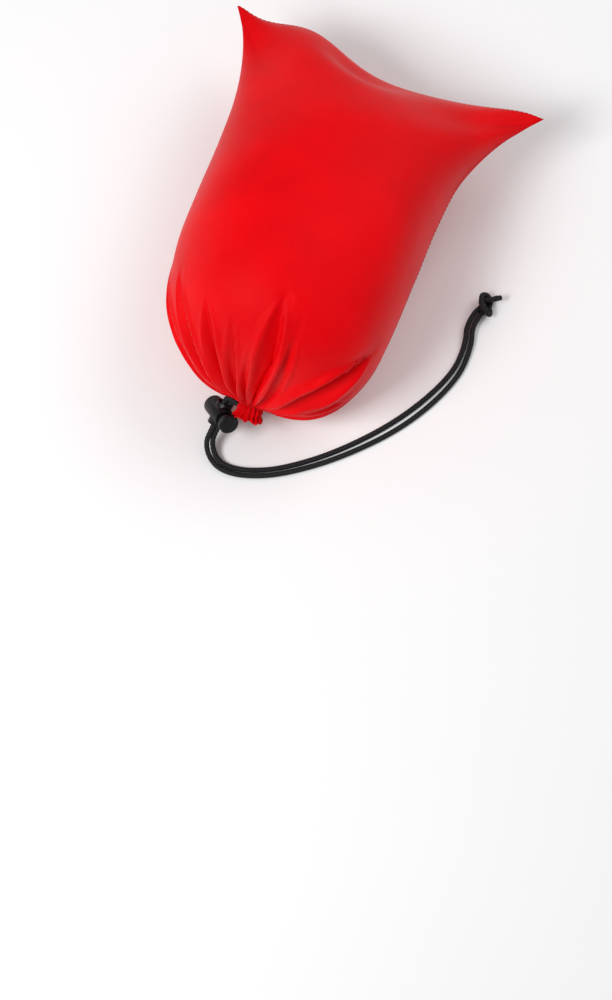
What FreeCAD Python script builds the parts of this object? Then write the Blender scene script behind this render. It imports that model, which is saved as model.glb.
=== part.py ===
import FreeCAD, Part
import math
import os

# A small drawcord stuff sack, filled and drawn closed. Units are millimetres.
# The origin is the middle of the flat patch that the sack rests on, +Z is up, and +Y runs
# from the gathered neck to the closed end, which ends in two pinched corner ears.
# Soft pieces are plain solids of the right size; the cord lock is modelled in full.

Vector = FreeCAD.Vector

# Fabric: two panels sewn at the sides and at the closed end.
FABRIC = 0.6
SEAM_ALLOWANCE = 5.0
LOAD_CLEARANCE = 1.8
LOAD_END = 86.0
HALF_SEAM_GAP = 0.04
ACROSS = 18
PATCH_ROUNDING = 1.5
PATCH_DIP = 0.4

# Sections of the filled sack from neck to closed end: y, z of the seam level, half width, rise
# of the upper panel, drop of the lower one, lean of the section in degrees towards the neck,
# how far the seams bow past the middle, and how pointed the section is where the panels meet.
SECTIONS = [
    (-88.7, 25.6, 5.5, 5.5, 5.5, 31.0, 0.0, 1.0),
    (-87.5, 27.0, 18.0, 17.0, 14.0, 30.0, 0.0, 1.0),
    (-84.0, 31.0, 33.0, 31.0, 23.0, 27.0, 0.0, 1.0),
    (-75.0, 38.0, 47.0, 45.0, 33.0, 20.0, 0.0, 1.0),
    (-58.0, 46.0, 58.0, 54.0, 45.0, 10.0, 0.0, 1.0),
    (-34.0, 50.0, 64.0, 56.0, 55.0, 3.0, 0.0, 0.95),
    (0.0, 52.0, 66.0, 54.0, 58.0, 0.0, 0.0, 0.95),
    (32.0, 53.0, 66.0, 49.0, 59.0, 0.0, 0.0, 1.0),
    (58.0, 53.0, 67.0, 42.0, 50.0, -2.0, 1.0, 1.1),
    (78.0, 52.5, 71.0, 31.0, 36.5, 0.0, 5.0, 1.3),
    (90.0, 52.0, 78.0, 18.0, 20.5, 0.0, 10.0, 1.6),
    (95.5, 51.5, 85.0, 8.0, 9.0, 0.0, 15.0, 1.8),
    (97.0, 51.0, 90.0, 0.0, 0.0, 0.0, 17.0, 2.0),
]
LARGEST_BOW = 17.0

# Thread: short round stitches of the side and bottom seams, rings of thread at the casing.
THREAD_RADIUS = 0.3
STITCH_PITCH = 4.0
STITCH_SHARE = 0.7
SEAM_TO_THREAD = 0.75

# Gathered casing: two half rings about the closed neck, with the cord's channel inside.
NECK_CENTRE = Vector(0.8, -88.7, 25.6)
NECK_LEAN = 31.0
CASING_PROFILE = [(5.3, 0.05), (6.4, 1.0), (6.7, 5.4), (6.2, 6.8), (7.0, 7.6)]
CASING_BORE = 1.2
CASING_SLIT = 0.35
CORD_RING_RADIUS = 4.2
CORD_RING_HEIGHT = 3.0
CHANNEL_CLEARANCE = 0.1
LEG_HALF_GAP = 1.6
LEG_BEND = 2.0
LEG_END = 5.3

# Drawcord: two strands of one braided cord, side by side.
CORD_RADIUS = 1.5
LOCK_HALF_GAP = 1.55
BEND_SHARE = 0.45

# Cord lock: its cross hole's centre, and the way the strands run through it.
LOCK_CENTRE = Vector(-13.2, -98.0, 17.2)
STRAND_WAY = Vector(-0.116, -0.831, -0.544)
BUTTON_WAY = Vector(0.615, -0.478, 0.627)
STRAND_TURN_IN = {-1: 12.2, 1: 9.4}
STRAND_TURN_OUT = {-1: 17.8, 1: 16.2}
TAIL_TURN_OUT = 17.0

# The doubled tail past the lock, as x, y, z and half the gap between the strands' middles.
TAIL_ROUTE = [
    (-10.9, -118.3, 3.4, 1.7),
    (-3.3, -121.8, 1.7, 1.6),
    (9.6, -120.0, 1.6, 1.6),
    (27.7, -111.5, 1.6, 1.6),
    (53.0, -91.0, 1.6, 1.9),
    (79.0, -60.5, 1.6, 2.4),
    (95.3, -27.0, 1.6, 2.0),
    (96.0, -6.0, 1.6, 1.8),
    (91.9, 5.4, 3.5, 1.6),
]
KNOT_START = Vector(94.3, 13.4, 4.3)
KNOT_WAY = Vector(0.31, 0.95, 0.0)
KNOT_PROFILE = [(3.3, 0.0), (4.2, 2.6), (3.7, 5.5), (4.2, 8.4), (3.3, 11.0)]
KNOT_HALF_GAP = 1.6
END_LENGTH = 5.0
END_SPREAD = 0.12
MELTED_ROUND = 0.6

# Barrel, plunger and spring, along the lock's axis from the cross hole's middle. SPRING_WIRE is
# the wire's radius.
BARREL_RADIUS = 5.5
BARREL_FLOOR = -12.5
BARREL_RIM = 5.6
BARREL_WALL = 1.2
BARREL_ROUND = 0.8
HOLE_RADIUS = 3.6
HOLE_DROP = 1.34
BOSS_RADIUS = 4.6
BOSS_REACH = 6.7
PLUNGER_CLEARANCE = 0.15
PLUNGER_FOOT = -4.8
PLUNGER_SLOT = 1.0
PLUNGER_NECK_RADIUS = 3.0
BUTTON_GAP = 3.9
BUTTON_RADIUS = 5.5
BUTTON_THICKNESS = 2.5
BUTTON_ROUND = 0.9
SPRING_RADIUS = 2.9
SPRING_WIRE = 0.3
SPRING_TURNS = 4
SPRING_POINTS_PER_TURN = 12
SPRING_END_GAP = 0.35

# Cutting blocks are larger than what they cut, and a cut runs past the surface it leaves by.
SLAB = 400.0
BLOCK = 40.0
OVERRUN = 1.0
SAME = 1e-4


def leaning(angle):
    """The upward unit vector of a section that leans towards the neck by an angle in degrees."""
    return Vector(0.0, -math.sin(math.radians(angle)), math.cos(math.radians(angle)))


def soft_floor(height, floor):
    """A height that flattens out smoothly just above the given floor."""
    over = height - floor
    return floor + 0.5 * (over + math.sqrt(over ** 2 + PATCH_ROUNDING ** 2))


def section_points(section, side, inset):
    """Points across one panel from the left seam to the right one, set in by a distance."""
    y, level, width, rise, drop, lean, bow, pointed = section
    fold = SEAM_ALLOWANCE * bow / LARGEST_BOW if inset else 0.0
    height = max(rise if side > 0 else drop, inset) - inset
    floor = inset - PATCH_DIP if inset == 0.0 else inset
    points = []
    for step in range(ACROSS + 1):
        turn = math.pi * step / ACROSS
        across = -math.cos(turn)
        bulge = abs(math.sin(turn)) ** pointed
        middle = Vector((width - inset - fold) * across, y - fold + bow * across ** 2, level)
        point = middle + leaning(lean) * (side * (height * bulge + HALF_SEAM_GAP))
        point.z = soft_floor(point.z, floor)
        points.append(point)
    return points


def panel_surface(side, inset, sections=SECTIONS):
    """A smooth surface through the sections of one panel."""
    surface = Part.BSplineSurface()
    surface.interpolate([section_points(section, side, inset) for section in sections])
    return surface


def border(surface):
    """The neck, closed-end, left and right border edges of a panel surface."""
    first_u, last_u, first_v, last_v = surface.bounds()
    curves = [surface.uIso(first_u), surface.uIso(last_u), surface.vIso(first_v), surface.vIso(last_v)]
    return [curve.toShape() for curve in curves]


def solid_from(faces):
    """One closed solid sewn from faces that share their borders."""
    shell = Part.makeShell(faces)
    shell.sewShape()
    solid = Part.makeSolid(shell)
    if solid.Volume < 0.0:
        solid.reverse()
    return solid


def panel(side):
    """One fabric panel: outer and inner surface, joined around by the folded seam allowance."""
    outer = panel_surface(side, 0.0)
    inner = panel_surface(side, FABRIC)
    bands = [Part.makeRuledSurface(far, near) for far, near in zip(border(outer), border(inner))]
    return solid_from([outer.toShape(), inner.toShape()] + bands)


def resting_panel():
    """The lower panel, cut flat where the sack rests."""
    slab = Part.makeBox(SLAB, SLAB, SLAB, Vector(-SLAB / 2, -SLAB / 2, -SLAB))
    return panel(-1).cut(slab)


def load():
    """The soft load: it fills the panels up to a clearance, short of the neck and the end seam."""
    sections = SECTIONS[1:]
    upper = panel_surface(1, FABRIC + LOAD_CLEARANCE, sections)
    lower = panel_surface(-1, FABRIC + LOAD_CLEARANCE, sections)
    bands = [Part.makeRuledSurface(high, low) for high, low in zip(border(upper), border(lower))]
    whole = solid_from([upper.toShape(), lower.toShape()] + bands)
    past_end = Part.makeBox(SLAB, SLAB, SLAB, Vector(-SLAB / 2, LOAD_END, -SLAB / 2))
    return whole.cut(past_end)


def stitches(points):
    """Short round stitches laid end to end along a smooth line through points."""
    line = Part.BSplineCurve()
    line.interpolate(points)
    edge = line.toShape()
    count = int(edge.Length / STITCH_PITCH)
    marks = edge.discretize(Number=count + 1)
    solids = []
    for start, end in zip(marks, marks[1:]):
        way = end - start
        solids.append(Part.makeCylinder(THREAD_RADIUS, way.Length * STITCH_SHARE, start, way))
    return Part.makeCompound(solids)


def side_stitching(hand):
    """Stitches just inside a side seam, from near the neck towards the ear."""
    index = 0 if hand < 0 else ACROSS
    inset = FABRIC + SEAM_TO_THREAD
    return stitches([section_points(section, 1, inset)[index] for section in SECTIONS[2:-2]])


def bottom_stitching():
    """Stitches just inside the closed end's seam, between the ears."""
    last = section_points(SECTIONS[-1], 1, FABRIC + SEAM_TO_THREAD)
    back = Vector(0.0, SEAM_TO_THREAD, 0.0)
    return stitches([point - back for point in last[3:-3:2]])


def neck_placement():
    """Local axes at the neck: x to the right, y up across the ring, z out of the sack."""
    up = leaning(NECK_LEAN)
    right = Vector(1.0, 0.0, 0.0)
    return FreeCAD.Placement(NECK_CENTRE, FreeCAD.Rotation(right, up, right.cross(up), "ZXY"))


def lock_axes():
    """Unit vectors of the lock: along the strands, across them, and towards the button."""
    along = Vector(STRAND_WAY).normalize()
    axis = BUTTON_WAY - along * BUTTON_WAY.dot(along)
    axis.normalize()
    return along, axis.cross(along), axis


def lock_placement():
    """Local axes at the cross hole: x along the strands, z towards the button."""
    along, across, axis = lock_axes()
    return FreeCAD.Placement(LOCK_CENTRE, FreeCAD.Rotation(along, across, axis, "ZXY"))


def moved(shape, placement):
    """A rigidly moved copy of a shape."""
    copy = shape.copy()
    copy.Placement = placement.multiply(copy.Placement)
    return copy


def revolved(profile, bore):
    """A ring or a plug turned about z from (radius, height) corners."""
    corners = [Vector(radius, 0.0, height) for radius, height in profile]
    inner_low = Vector(bore, 0.0, profile[0][1])
    inner_high = Vector(bore, 0.0, profile[-1][1])
    face = Part.Face(Part.makePolygon([inner_low] + corners + [inner_high, inner_low]))
    return face.revolve(Vector(), Vector(0.0, 0.0, 1.0), 360.0)


def casing(side):
    """One gathered half of the casing, open at both slits, with the cord's channel inside."""
    ring = revolved(CASING_PROFILE, CASING_BORE)
    keep = Part.makeBox(BLOCK, BLOCK, BLOCK, Vector(-BLOCK / 2, CASING_SLIT, -BLOCK / 2))
    half_slit = LEG_HALF_GAP + CORD_RADIUS + CHANNEL_CLEARANCE
    left_slit = Part.makeBox(BLOCK / 2, 2.0 * half_slit, BLOCK, Vector(-BLOCK / 2, -half_slit, -BLOCK / 2))
    channel = Part.makeTorus(CORD_RING_RADIUS, CORD_RADIUS + CHANNEL_CLEARANCE,
                             Vector(0.0, 0.0, CORD_RING_HEIGHT))
    leg_room = sweep(ring_path(), CORD_RADIUS + CHANNEL_CLEARANCE)
    half = ring.cut(left_slit).cut(channel).cut(leg_room)
    if side < 0:
        keep = keep.mirror(Vector(), Vector(0.0, 1.0, 0.0))
    return moved(half.common(keep), neck_placement())


def casing_stitching(side):
    """A half ring of thread around the gathered casing's root."""
    radius = CASING_PROFILE[1][0] + THREAD_RADIUS + CHANNEL_CLEARANCE
    height = CASING_PROFILE[1][1] + THREAD_RADIUS
    ring = Part.makeTorus(radius, THREAD_RADIUS, Vector(0.0, 0.0, height))
    keep = Part.makeBox(BLOCK, BLOCK, BLOCK, Vector(-BLOCK / 2, LEG_HALF_GAP + CORD_RADIUS, -BLOCK / 2))
    if side < 0:
        keep = keep.mirror(Vector(), Vector(0.0, 1.0, 0.0))
    return moved(ring.common(keep), neck_placement())


def ring_path():
    """The cord's path in the casing: in by one leg, around the neck, and out by the other."""
    reach = CORD_RING_RADIUS + LEG_BEND
    bend_y = LEG_HALF_GAP + LEG_BEND
    bend_x = -math.sqrt(reach ** 2 - bend_y ** 2)
    height = CORD_RING_HEIGHT
    upper_bend = Vector(bend_x, bend_y, height)
    meet = Vector(bend_x, bend_y, 0.0) * (CORD_RING_RADIUS / reach) + Vector(0.0, 0.0, height)
    leg_bend = Vector(bend_x, LEG_HALF_GAP, height)
    halfway = (leg_bend - upper_bend) + (meet - upper_bend)
    halfway = upper_bend + halfway.normalize() * LEG_BEND

    def below(point):
        """The same point on the lower side of the ring's plane of symmetry."""
        return Vector(point.x, -point.y, point.z)

    leg_end = Vector(-LEG_END, LEG_HALF_GAP, height)
    far_side = Vector(CORD_RING_RADIUS, 0.0, height)
    return Part.Wire([
        Part.LineSegment(leg_end, leg_bend).toShape(),
        Part.Arc(leg_bend, halfway, meet).toShape(),
        Part.Arc(meet, far_side, below(meet)).toShape(),
        Part.Arc(below(meet), below(halfway), below(leg_bend)).toShape(),
        Part.LineSegment(below(leg_bend), below(leg_end)).toShape(),
    ])


def sweep(path, radius):
    """A round tube along a smooth path."""
    edge = path.OrderedEdges[0]
    start = edge.valueAt(edge.FirstParameter)
    way = edge.tangentAt(edge.FirstParameter)
    profile = Part.Wire(Part.makeCircle(radius, start, way))
    return path.makePipeShell([profile], True, False)


def casing_loop():
    """The cord inside the casing."""
    return moved(sweep(ring_path(), CORD_RADIUS), neck_placement())


def rounded_path(points):
    """Straight runs joined by tangent arcs as large as the shorter run allows, and the arcs' radii."""
    edges = []
    radii = []
    start = points[0]
    for before, corner, after in zip(points, points[1:], points[2:]):
        way_in = corner - before
        way_out = after - corner
        shorter = min(way_in.Length, way_out.Length)
        half_turn = 0.5 * way_in.getAngle(way_out)
        way_in.normalize()
        way_out.normalize()
        reach = BEND_SHARE * shorter
        radius = reach / math.tan(half_turn)
        arc_start = corner - way_in * reach
        arc_end = corner + way_out * reach
        inward = (way_out - way_in).normalize()
        middle = corner + inward * (radius / math.cos(half_turn) - radius)
        edges.append(Part.LineSegment(start, arc_start).toShape())
        edges.append(Part.Arc(arc_start, middle, arc_end).toShape())
        radii.append(radius)
        start = arc_end
    edges.append(Part.LineSegment(start, points[-1]).toShape())
    return Part.Wire(edges), radii


def side_way(before, after):
    """The level unit vector that points to the left of the way from one point to another."""
    way = after - before
    return Vector(-way.y, way.x, 0.0).normalize()


def strand_points(hand):
    """The route of one strand: hand is +1 for the strand on the tail's left, -1 for the other."""
    along, across, _ = lock_axes()
    leg = Vector(-LEG_END, -hand * LEG_HALF_GAP, CORD_RING_HEIGHT)
    in_lock = LOCK_CENTRE + across * (hand * LOCK_HALF_GAP)
    middles = [LOCK_CENTRE + along * TAIL_TURN_OUT]
    middles += [Vector(x, y, z) for x, y, z, _ in TAIL_ROUTE] + [KNOT_START]
    points = [neck_placement().multVec(leg), in_lock - along * STRAND_TURN_IN[hand],
              in_lock + along * STRAND_TURN_OUT[hand]]
    for index, (_, _, _, half_gap) in enumerate(TAIL_ROUTE, start=1):
        sideways = side_way(middles[index - 1], middles[index + 1])
        points.append(middles[index] + sideways * (hand * half_gap))
    points.append(KNOT_START + side_way(Vector(), KNOT_WAY) * (hand * KNOT_HALF_GAP))
    return points


def strand(hand, name):
    """One strand of the tail, from the casing through the lock to the knot."""
    path, radii = rounded_path(strand_points(hand))
    print(name, "bend radii in mm:", ", ".join("%.1f" % radius for radius in radii))
    tube = sweep(path, CORD_RADIUS)
    expected = math.pi * CORD_RADIUS ** 2 * path.Length
    print(name, "length %.1f mm, volume over section x length %.4f" % (path.Length, tube.Volume / expected))
    return tube


def knot_placement():
    """Local axes at the knot's start: z along the tail."""
    way = Vector(KNOT_WAY).normalize()
    return FreeCAD.Placement(KNOT_START, FreeCAD.Rotation(Vector(0.0, 0.0, 1.0), way))


def knot():
    """The overhand knot's outer shape, turned from a smooth waisted profile."""
    outline = Part.BSplineCurve()
    outline.interpolate([Vector(radius, 0.0, height) for radius, height in KNOT_PROFILE])
    low = Vector(0.0, 0.0, KNOT_PROFILE[0][1])
    high = Vector(0.0, 0.0, KNOT_PROFILE[-1][1])
    edges = [
        Part.LineSegment(low, outline.StartPoint).toShape(),
        outline.toShape(),
        Part.LineSegment(outline.EndPoint, high).toShape(),
        Part.LineSegment(high, low).toShape(),
    ]
    body = Part.Face(Part.Wire(edges)).revolve(Vector(), Vector(0.0, 0.0, 1.0), 360.0)
    return moved(body, knot_placement())


def cord_end(hand):
    """A short melted end past the knot, leaning away from its neighbour."""
    way = Vector(KNOT_WAY).normalize()
    sideways = side_way(Vector(), KNOT_WAY) * hand
    start = KNOT_START + way * KNOT_PROFILE[-1][1] + sideways * KNOT_HALF_GAP
    stub = Part.makeCylinder(CORD_RADIUS, END_LENGTH)
    stub = stub.makeFillet(MELTED_ROUND, rims_at(stub, END_LENGTH))
    turn = FreeCAD.Rotation(Vector(0.0, 0.0, 1.0), way + sideways * END_SPREAD)
    return moved(stub, FreeCAD.Placement(start, turn))


def cross_bar(radius, height, reach):
    """A round bar across the lock, along its local x, at a height on the lock's axis."""
    return Part.makeCylinder(radius, 2.0 * reach, Vector(-reach, 0.0, height), Vector(1.0, 0.0, 0.0))


def rims_at(shape, height):
    """The circular edges of a turned shape that lie at one height."""
    return [edge for edge in shape.Edges
            if abs(edge.BoundBox.ZMin - height) < SAME and abs(edge.BoundBox.ZMax - height) < SAME]


def barrel():
    """The lock's cup, with its cross hole and the two low bosses around the hole."""
    height = BARREL_RIM - BARREL_FLOOR
    cup = Part.makeCylinder(BARREL_RADIUS, height, Vector(0.0, 0.0, BARREL_FLOOR))
    cup = cup.makeFillet(BARREL_ROUND, rims_at(cup, BARREL_FLOOR))
    bosses = cross_bar(BOSS_RADIUS, -HOLE_DROP, BOSS_REACH)
    inner_floor = Vector(0.0, 0.0, BARREL_FLOOR + BARREL_WALL)
    bore = Part.makeCylinder(BARREL_RADIUS - BARREL_WALL, height, inner_floor)
    hole = cross_bar(HOLE_RADIUS, -HOLE_DROP, BOSS_REACH + OVERRUN)
    return moved(cup.fuse(bosses).cut(bore).cut(hole).removeSplitter(), lock_placement())


def plunger():
    """The push button: a slotted stem in the barrel, a waist and a rounded cap."""
    stem_radius = BARREL_RADIUS - BARREL_WALL - PLUNGER_CLEARANCE
    stem = Part.makeCylinder(stem_radius, BARREL_RIM - PLUNGER_FOOT, Vector(0.0, 0.0, PLUNGER_FOOT))
    waist = Part.makeCylinder(PLUNGER_NECK_RADIUS, BUTTON_GAP, Vector(0.0, 0.0, BARREL_RIM))
    cap_height = BARREL_RIM + BUTTON_GAP
    cap = Part.makeCylinder(BUTTON_RADIUS, BUTTON_THICKNESS, Vector(0.0, 0.0, cap_height))
    cap = cap.makeFillet(BUTTON_ROUND, rims_at(cap, cap_height + BUTTON_THICKNESS))
    low = cross_bar(HOLE_RADIUS, HOLE_DROP, BARREL_RADIUS)
    high = cross_bar(HOLE_RADIUS, HOLE_DROP + PLUNGER_SLOT, BARREL_RADIUS)
    between = Part.makeBox(2.0 * BARREL_RADIUS, 2.0 * HOLE_RADIUS, PLUNGER_SLOT,
                           Vector(-BARREL_RADIUS, -HOLE_RADIUS, HOLE_DROP))
    body = stem.fuse([waist, cap]).cut(low.fuse([high, between]))
    return moved(body.removeSplitter(), lock_placement())


def spring():
    """The coil spring between the barrel's floor and the plunger's foot."""
    low = BARREL_FLOOR + BARREL_WALL + SPRING_END_GAP
    height = PLUNGER_FOOT - SPRING_END_GAP - low
    count = SPRING_TURNS * SPRING_POINTS_PER_TURN
    points = []
    for index in range(count + 1):
        turn = 2.0 * math.pi * index / SPRING_POINTS_PER_TURN
        points.append(Vector(SPRING_RADIUS * math.cos(turn), SPRING_RADIUS * math.sin(turn),
                             low + height * index / count))
    path, _ = rounded_path(points)
    return moved(sweep(path, SPRING_WIRE), lock_placement())


def nodes():
    """Every node's name and shape."""
    return {
        "front_panel": panel(1),
        "back_panel": resting_panel(),
        "stuffing": load(),
        "left_side_stitching": side_stitching(-1),
        "right_side_stitching": side_stitching(1),
        "bottom_stitching": bottom_stitching(),
        "casing_front": casing(1),
        "casing_back": casing(-1),
        "casing_stitching_front": casing_stitching(1),
        "casing_stitching_back": casing_stitching(-1),
        "drawcord_casing_loop": casing_loop(),
        "drawcord_strand_left": strand(-1, "drawcord_strand_left"),
        "drawcord_strand_right": strand(1, "drawcord_strand_right"),
        "drawcord_knot": knot(),
        "drawcord_end_left": cord_end(-1),
        "drawcord_end_right": cord_end(1),
        "lock_barrel": barrel(),
        "lock_plunger": plunger(),
        "lock_spring": spring(),
    }


def main():
    """Write one STEP file per node."""
    os.makedirs("parts", exist_ok=True)
    for name, shape in nodes().items():
        box = shape.optimalBoundingBox(False)
        print("%-24s valid %s, %d solids, %.1f mm3, z %.2f to %.2f"
              % (name, shape.isValid(), len(shape.Solids), shape.Volume, box.ZMin, box.ZMax))
        shape.exportStep("parts/%s.step" % name)


main()
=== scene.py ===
import logging
import math
from dataclasses import dataclass
from enum import Enum

import bmesh
import bpy
import numpy as np
from mathutils import Matrix, Vector


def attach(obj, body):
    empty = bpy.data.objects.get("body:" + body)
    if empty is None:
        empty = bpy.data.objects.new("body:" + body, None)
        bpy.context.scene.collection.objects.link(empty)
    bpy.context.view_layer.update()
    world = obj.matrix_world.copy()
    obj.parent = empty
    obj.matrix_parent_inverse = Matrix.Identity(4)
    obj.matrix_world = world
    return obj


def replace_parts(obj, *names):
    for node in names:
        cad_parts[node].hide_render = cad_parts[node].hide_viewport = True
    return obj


# A drawcord stuff sack, filled and drawn closed: red woven nylon, a doubled black braided cord
# with an overhand knot, and a spring cord lock. Lengths are metres unless a name ends in _mm.

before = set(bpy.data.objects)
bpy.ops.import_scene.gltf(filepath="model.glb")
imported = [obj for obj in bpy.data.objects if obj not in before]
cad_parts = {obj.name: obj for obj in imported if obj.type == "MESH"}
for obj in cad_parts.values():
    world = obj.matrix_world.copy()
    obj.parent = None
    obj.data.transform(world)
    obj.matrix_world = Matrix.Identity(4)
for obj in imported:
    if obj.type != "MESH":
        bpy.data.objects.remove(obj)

LOG = logging.getLogger("stuff_sack")
MM = 0.001


class Slot(Enum):
    """The record's material slots."""

    FABRIC = "shell_fabric"
    THREAD = "thread"
    CORD = "braided_cord"
    PLASTIC = "lock_plastic"
    STEEL = "spring_steel"
    LOAD = "soft_load"


class Body(Enum):
    """The bodies that pieces ride on."""

    SACK = "sack"
    LOCK = "lock"
    BUTTON = "lock_button"


class Side(Enum):
    """Which of the two panels: the upper one, or the one that the sack lies on."""

    FRONT = 1
    BACK = -1


# ---------------------------------------------------------------- arrays and meshes


def unit(vectors: np.ndarray) -> np.ndarray:
    """Vectors of length one.

    Args:
        vectors: an array whose last axis holds x, y and z.

    Returns:
        The array divided by its length along the last axis.
    """
    return vectors / np.linalg.norm(vectors, axis=-1, keepdims=True)


def smoothstep(low: float, high: float, values: np.ndarray) -> np.ndarray:
    """A smooth rise from 0 to 1: three times the square less twice the cube of the share.

    Args:
        low: where the rise starts.
        high: where it ends.
        values: where to read it.

    Returns:
        The rise at each value.
    """
    share = np.clip((values - low) / (high - low), 0.0, 1.0)
    return share * share * (3.0 - 2.0 * share)


def through(stations: np.ndarray, rows: np.ndarray, at: np.ndarray) -> np.ndarray:
    """A smooth curve through rows: cubic Hermite pieces whose slopes are the mean of both sides.

    Args:
        stations: rising positions of the rows.
        rows: one row of values per station.
        at: positions to read, of any shape.

    Returns:
        The values, with at's shape and the rows' columns as the last axis.
    """
    slope = np.diff(rows, axis=0) / np.diff(stations)[:, None]
    tangent = np.concatenate([slope[:1], 0.5 * (slope[1:] + slope[:-1]), slope[-1:]])
    index = np.clip(np.searchsorted(stations, at, side="right") - 1, 0, len(stations) - 2)
    step = (stations[index + 1] - stations[index])[..., None]
    t = ((at - stations[index])[..., None]) / step
    start = (2 * t**3 - 3 * t**2 + 1) * rows[index] + (t**3 - 2 * t**2 + t) * step * tangent[index]
    end = (3 * t**2 - 2 * t**3) * rows[index + 1] + (t**3 - t**2) * step * tangent[index + 1]
    return start + end


def spaced_along(path: np.ndarray, stations: np.ndarray, values: np.ndarray | None = None) -> np.ndarray:
    """A path's points, or values that belong to them, read at distances from its start.

    Args:
        path: points in order.
        stations: distances along the path.
        values: three numbers per point, in place of the points themselves.

    Returns:
        Three numbers per distance, on the straight line between the neighbours.
    """
    values = path if values is None else values
    travelled = np.concatenate([[0.0], np.cumsum(np.linalg.norm(np.diff(path, axis=0), axis=1))])
    return np.stack([np.interp(stations, travelled, values[:, axis]) for axis in range(3)], axis=-1)


def length_of(path: np.ndarray) -> float:
    """The sum of the distances between neighbouring points."""
    return float(np.linalg.norm(np.diff(path, axis=0), axis=1).sum())


def grid_quads(ids: np.ndarray, outward: bool = True) -> np.ndarray:
    """The four-cornered faces of a grid.

    Args:
        ids: vertex numbers, rows by columns.
        outward: False turns every face over.

    Returns:
        An array of faces by four vertex numbers.
    """
    quads = np.stack([ids[:-1, :-1], ids[:-1, 1:], ids[1:, 1:], ids[1:, :-1]], axis=-1).reshape(-1, 4)
    return quads if outward else quads[:, ::-1]


def make_piece(name: str, points: np.ndarray, faces: list, uv: np.ndarray | None = None) -> bpy.types.Object:
    """A smooth-shaded mesh object at the origin.

    Args:
        name: the piece's name.
        points: vertices, in metres.
        faces: vertex numbers of each face.
        uv: one coordinate pair per face corner, in the faces' order.

    Returns:
        The new object, linked to the scene.
    """
    mesh = bpy.data.meshes.new(name)
    mesh.from_pydata(points.reshape(-1, 3).tolist(), [], faces)
    if uv is not None:
        layer = mesh.uv_layers.new(name="pattern")
        layer.data.foreach_set("uv", uv.astype(np.float32).ravel())
    mesh.shade_smooth()
    mesh.validate()
    piece = bpy.data.objects.new(name, mesh)
    bpy.context.scene.collection.objects.link(piece)
    return piece


def panel_piece(name: str, grid: np.ndarray, flat: np.ndarray, outward: bool) -> bpy.types.Object:
    """A piece from a grid of points, with the cut's flat coordinates as its pattern coordinates.

    Args:
        name: the piece's name.
        grid: points, rows by columns by three.
        flat: pattern coordinates, rows by columns by two.
        outward: False turns every face over.

    Returns:
        The new object.
    """
    ids = np.arange(grid.shape[0] * grid.shape[1]).reshape(grid.shape[:2])
    quads = grid_quads(ids, outward)
    return make_piece(name, grid, quads.tolist(), flat.reshape(-1, 2)[quads.ravel()])


def closed_rings(rings: np.ndarray) -> tuple[np.ndarray, list]:
    """A closed surface through rings of points, with a fan to the middle at each end.

    Args:
        rings: points, rings by points around by three.

    Returns:
        Vertices and faces.
    """
    count, around = rings.shape[:2]
    ids = np.arange(count * around).reshape(count, around)
    ids = np.concatenate([ids, ids[:, :1]], axis=1)
    poles = np.stack([rings[0].mean(axis=0), rings[-1].mean(axis=0)])
    near = [[count * around, int(b), int(a)] for a, b in zip(ids[0], ids[0, 1:])]
    far = [[count * around + 1, int(a), int(b)] for a, b in zip(ids[-1], ids[-1, 1:])]
    return np.concatenate([rings.reshape(-1, 3), poles]), grid_quads(ids).tolist() + near + far


def carried_sideways(path: np.ndarray, first: np.ndarray) -> tuple[np.ndarray, np.ndarray, np.ndarray]:
    """Directions along and across a path that turn with it and don't twist about it.

    Each station's sideways direction is the last one's, less its share along the new tangent.

    Args:
        path: points in order.
        first: the sideways direction at the start, roughly.

    Returns:
        Unit tangents, unit sideways directions and their cross products.
    """
    tangents = unit(np.gradient(path, axis=0))
    sideways = np.empty_like(tangents)
    carried = np.asarray(first, float)
    for index, tangent in enumerate(tangents):
        carried = carried - tangent * (carried @ tangent)
        carried /= np.linalg.norm(carried)
        sideways[index] = carried
    return tangents, sideways, np.cross(tangents, sideways)


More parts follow.
